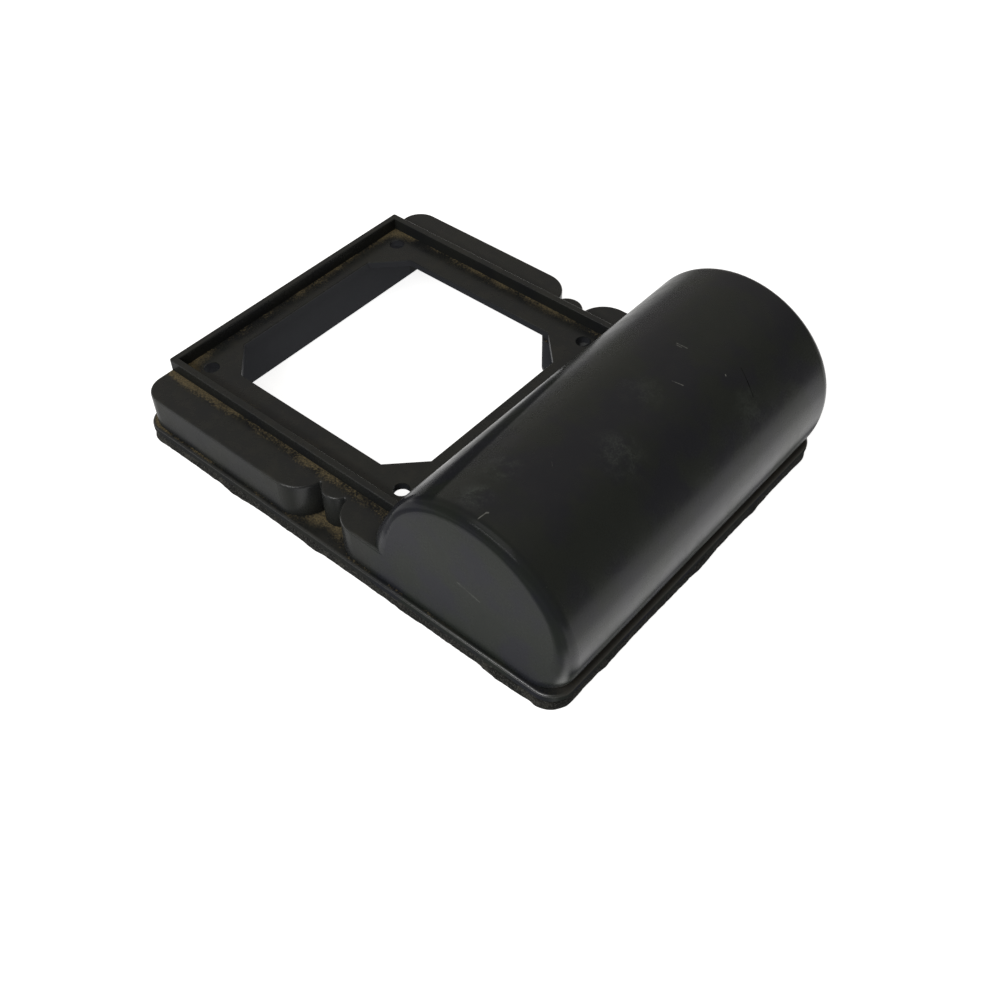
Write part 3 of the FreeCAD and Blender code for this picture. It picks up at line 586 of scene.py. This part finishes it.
# where the foam has swollen or torn: place (X, Y), reach along the ring and size, in mm
FOAM_LUMPS = [
    (-46.5, -61.0, 3.0, 0.7), (-8.5, -62.4, 4.0, 0.7), (-20.0, -62.4, 2.0, 0.3),
    (24.0, -62.4, 5.0, 0.3), (60.0, -62.4, 6.0, 0.3), (99.0, -62.4, 9.0, 0.9),
    (112.0, -42.0, 4.0, 0.3), (112.0, 2.0, 5.0, 0.5), (112.0, 28.0, 3.0, 0.4),
    (-49.7, 10.0, 5.0, 0.4), (-49.7, -35.0, 3.0, 0.3), (20.0, 62.4, 4.0, 0.4),
]


def foam_seal():
    """The foam ring: a cut strip carried round a rounded rectangle.

    Each point moves across the strip by smooth noise of clump, swell and cell size, and by a
    bell-shaped lump at each place where the foam has swollen: in full on the sides of the
    section, and less round its corners. Where the noise is inward, the foam also sags. The
    top, which is bonded to the flange, stays flat, and nothing sinks below the table.
    """
    rng = np.random.default_rng(11)
    low, high = [np.array(corner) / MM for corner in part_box("foam_light_seal")]
    width, outer_radius, step, squareness = 5.0, 6.6, 0.42, 0.22
    clump_size, clump_push = (1.6, 1.4), 0.07
    swell_size, swell_push = (6.0, 3.0), 0.12
    cell_size, cell_push = (0.5, 0.5), 0.06
    corner_power = 8
    bond_depth, table_gap = 0.4, 0.02
    lump_top = 0.9
    middle = (low + high) / 2
    half = (high - low) / 2 - width / 2
    height = high[2] - low[2]
    path, outward = ring_path(half[0], half[1], outer_radius - width / 2, step)
    across, up = cut_section(width, height, step, squareness)
    shape = (len(path), len(across))
    clumps = rough_field(rng, shape, (step, step), clump_size)
    swells = rough_field(rng, shape, (step, step), swell_size)
    cells = rough_field(rng, shape, (step, step), cell_size)
    push = clump_push * clumps + swell_push * swells + cell_push * cells
    side = path + middle[:2] + outward * width / 2
    # a lump is widest at the foam's foot and ends at lump_top of its height
    lump_share = np.clip(lump_top - (up / height + 0.5), 0, 1)
    for x, y, reach, size in FOAM_LUMPS:
        gap = np.hypot(side[:, 0] - x, side[:, 1] - y)
        bell = np.exp(-(gap / reach) ** 2)[:, None]
        push += size * bell * lump_share * (1 + 0.5 * clumps)
    # which way the section's outline faces: across, up or, round its corners, between them
    slope_across = np.sign(across) * np.abs(across / (width / 2)) ** corner_power
    slope_up = np.sign(up) * np.abs(up / (height / 2)) ** corner_power
    slope = np.hypot(slope_across, slope_up) + 1e-6
    free = np.clip((height / 2 - up) / bond_depth, 0, 1)
    move_across = across + push * slope_across / slope * free
    move_up = up + np.minimum(push, 0) * np.abs(slope_up) / slope * free
    flat = path[:, None] + middle[:2] + outward[:, None] * move_across[..., None]
    level = np.clip(middle[2] + move_up, low[2] + table_gap, high[2])
    return grid_mesh("foam_seal_ragged", np.concatenate([flat, level[..., None]], -1), foam)


def plush_strip():
    """Light-trap plush: a backing strip with rows of pile tufts that hang from it.

    Each tuft is a three-sided spike, wide at the backing, leaning a little at random.
    """
    rng = np.random.default_rng(5)
    low, high = [np.array(corner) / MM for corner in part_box("light_trap_plush")]
    backing, tuft_overlap = 0.9, 0.1
    pitch, jitter, root_radius = 0.62, 0.12, 0.36
    tip_lean, tip_rise, tip_margin = 0.22, 0.5, 0.05
    first_tuft, last_tuft = low[:2] + (0.35, 0.4), high[:2] - (0.3, 0.35)
    x, y = np.meshgrid(np.arange(first_tuft[0], last_tuft[0], pitch),
                       np.arange(first_tuft[1], last_tuft[1], pitch), indexing="ij")
    place = np.stack([x, y], -1).reshape(-1, 2)
    place += rng.uniform(-jitter, jitter, place.shape)
    count = len(place)
    angle = rng.uniform(0, 2 * np.pi, count)[:, None] + np.radians([0, 120, 240])
    root = place[:, None] + root_radius * np.stack([np.cos(angle), np.sin(angle)], -1)
    root[..., 0] = np.clip(root[..., 0], low[0], high[0])
    root_z = np.full((count, 3, 1), high[2] - backing + tuft_overlap)
    tip = np.clip(place + rng.normal(0, tip_lean, place.shape), low[:2] + tip_margin,
                  high[:2] - tip_margin)
    tip_z = low[2] + rng.uniform(0.0, tip_rise, count)
    points = np.concatenate([np.concatenate([root, root_z], -1),
                             np.concatenate([tip, tip_z[:, None]], -1)[:, None]], 1)
    faces = np.array([[0, 1, 2], [0, 3, 1], [1, 3, 2], [2, 3, 0]])
    faces = (faces + 4 * np.arange(count)[:, None, None]).reshape(-1, 3)
    corner_x, corner_y, corner_z = np.meshgrid([low[0], high[0]], [low[1], high[1]],
                                               [high[2] - backing, high[2]], indexing="ij")
    strip = np.stack([corner_x, corner_y, corner_z], -1).reshape(-1, 3)
    sides = np.array([[0, 1, 3, 2], [4, 6, 7, 5], [0, 4, 5, 1], [2, 3, 7, 6], [0, 2, 6, 4],
                      [1, 5, 7, 3]])
    halves = np.concatenate([sides[:, :3], sides[:, [0, 2, 3]]]) + 4 * count
    return solid_mesh("plush_pile", np.concatenate([points.reshape(-1, 3), strip]),
                      np.concatenate([faces, halves]), plush, smooth=False)


def felt_washer():
    """Pressed felt ring about the spool's axis: a cut section turned through a full circle.

    The section bulges and frays by smooth noise of about a fibre bundle's size.
    """
    rng = np.random.default_rng(3)
    low, high = [np.array(corner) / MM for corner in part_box("drag_washer")]
    middle = (low + high) / 2
    outer, inner = (high[0] - low[0]) / 2, 3.05
    thickness = high[1] - low[1]
    room_to_fray, squareness = 0.1, 0.35
    turn_count, turn_step, section_step = 160, 0.17, 0.12
    fray_size, fray_push = (0.5, 0.4), 0.05
    across, up = cut_section(outer - inner - room_to_fray, thickness - room_to_fray,
                             section_step, squareness)
    turn = np.linspace(0, 2 * np.pi, turn_count, endpoint=False)[:, None]
    fray = fray_push * rough_field(rng, (turn_count, len(across)), (turn_step, section_step),
                                   fray_size)
    radius = (outer + inner) / 2 + across + fray
    points = np.stack([middle[0] + radius * np.cos(turn), middle[1] + up + 0 * radius,
                       middle[2] + radius * np.sin(turn)], -1)
    return grid_mesh("felt_washer_pressed", points[:, ::-1], felt)


def pin_coil():
    """Spring on the release pin: round wire wound on a helix of even pitch, ends cut square.

    The middle of the wire stays at one radius from the pin's axis and climbs along Y in
    proportion to the angle that it has turned through.
    """
    low, high = [np.array(corner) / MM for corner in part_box("pin_spring")]
    middle = (low + high) / 2
    wire_radius, pitch, travel = 0.3, 1.52, 4.5
    sides, steps_per_turn = 12, 48
    rise = high[1] - low[1] - 2 * wire_radius
    turns = round(rise / pitch)
    along = np.linspace(0, 1, turns * steps_per_turn + 1)[:, None]
    turn = 2 * np.pi * turns * along
    about = np.linspace(0, 2 * np.pi, sides, endpoint=False)
    radius = (high[0] - low[0]) / 2 - wire_radius + wire_radius * np.cos(about)
    rings = np.stack([middle[0] + radius * np.cos(turn),
                      low[1] + wire_radius * (1 + np.sin(about)) + rise * along,
                      middle[2] + radius * np.sin(turn)], -1)
    last = len(rings) - 1
    row, column = np.meshgrid(np.arange(last), np.arange(sides), indexing="ij")
    this, beside = row * sides + column, row * sides + (column + 1) % sides
    start_centre = np.full(sides, rings.shape[0] * sides)
    end_centre = start_centre + 1
    faces = np.concatenate([
        np.stack([this, beside, beside + sides], -1).reshape(-1, 3),
        np.stack([this, beside + sides, this + sides], -1).reshape(-1, 3),
        np.stack([start_centre, beside[0], this[0]], -1),
        np.stack([end_centre, this[0] + last * sides, beside[0] + last * sides], -1)])
    points = np.concatenate([rings.reshape(-1, 3), [rings[0].mean(0), rings[-1].mean(0)]])
    coil = solid_mesh("pin_coil_wound", points, faces, spring)
    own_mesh(coil)
    return coil


for piece, node, slot in ((foam_seal(), "foam_light_seal", "seal_foam"),
                          (plush_strip(), "light_trap_plush", "black_plush"),
                          (felt_washer(), "drag_washer", "felt"),
                          (pin_coil(), "pin_spring", "spring_steel")):
    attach(piece, "housing")
    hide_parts(node)

# ---------------------------------------------------------------- stage
scene.view_settings.view_transform = "Standard"


def light_table():
    """Opal acrylic sheet lit evenly from below: plain, pale and almost without shadow."""
    material, mm = new_material("opal_acrylic_sheet_lit")
    milk = add(material, "ShaderNodeTexNoise", Vector=mm, Scale=1 / 30.0, Detail=3.0)
    base = layered(material, "#f4f4f4", (milk.outputs[0], "#f8f8f8"))
    shader = add(material, "ShaderNodeBsdfPrincipled", Base_Color=base, Roughness=0.9,
                 Emission_Color=(1, 1, 1, 1), Emission_Strength=0.82)
    return finish_material(material, shader)


table_x, table_y = (-450.0, 236.0), (-450.0, 450.0)
table_z = cad_bounds[0][2] / MM
corner_x, corner_y = np.meshgrid(table_x, table_y, indexing="ij")
table_corners = np.stack([corner_x, corner_y, np.full((2, 2), table_z)], -1).reshape(-1, 3)
table = solid_mesh("floor", table_corners, np.array([[0, 2, 3, 1]]), light_table())

room_light = 0.30
world = bpy.data.worlds.new("studio")
scene.world = world
world.use_nodes = True
world.node_tree.nodes["Background"].inputs["Color"].default_value = colour("#f4efe6")
world.node_tree.nodes["Background"].inputs["Strength"].default_value = room_light


def softbox(name, place, target, width, height, power, tint):
    """A rectangular light that faces its target: place and size in metres, power in watts."""
    data = bpy.data.lights.new(name, "AREA")
    data.shape = "RECTANGLE"
    data.size, data.size_y = width, height
    data.energy = power
    data.color = colour(tint)[:3]
    light = bpy.data.objects.new(name, data)
    light.location = place
    light.rotation_euler = (Vector(target) - Vector(place)).to_track_quat("-Z", "Y").to_euler()
    scene.collection.objects.link(light)


softbox("softbox_front", (0.0, -1.05, 0.84), (0.03, 0, 0), 1.0, 0.22, 5.5, "#ffffff")
softbox("softbox_above", (-0.1, -1.6, 2.6), (-0.1, 0, 0), 2.4, 2.4, 13, "#ffffff")

# ---------------------------------------------------------------- camera
camera_place = Vector((214.1, -198.9, 248.2)) * MM
camera_aim = Vector((63.5, -26.6, 0)) * MM
camera_roll_deg = -1.01
lens_mm, sensor_mm = 44.31, 36

# level and upright are the camera's sides before it rolls about its line of sight
forward = (camera_aim - camera_place).normalized()
level = forward.cross(Vector((0, 0, 1))).normalized()
upright = level.cross(forward)
roll = math.radians(camera_roll_deg)
right = level * math.cos(roll) + upright * math.sin(roll)
up = right.cross(forward)
camera_data = bpy.data.cameras.new("camera")
camera_data.lens = lens_mm
camera_data.sensor_width = sensor_mm
camera_data.clip_start = 0.01
camera = bpy.data.objects.new("camera", camera_data)
turn = Matrix((right, up, -forward)).transposed().to_4x4()
camera.matrix_world = Matrix.Translation(camera_place) @ turn
scene.collection.objects.link(camera)
scene.camera = camera
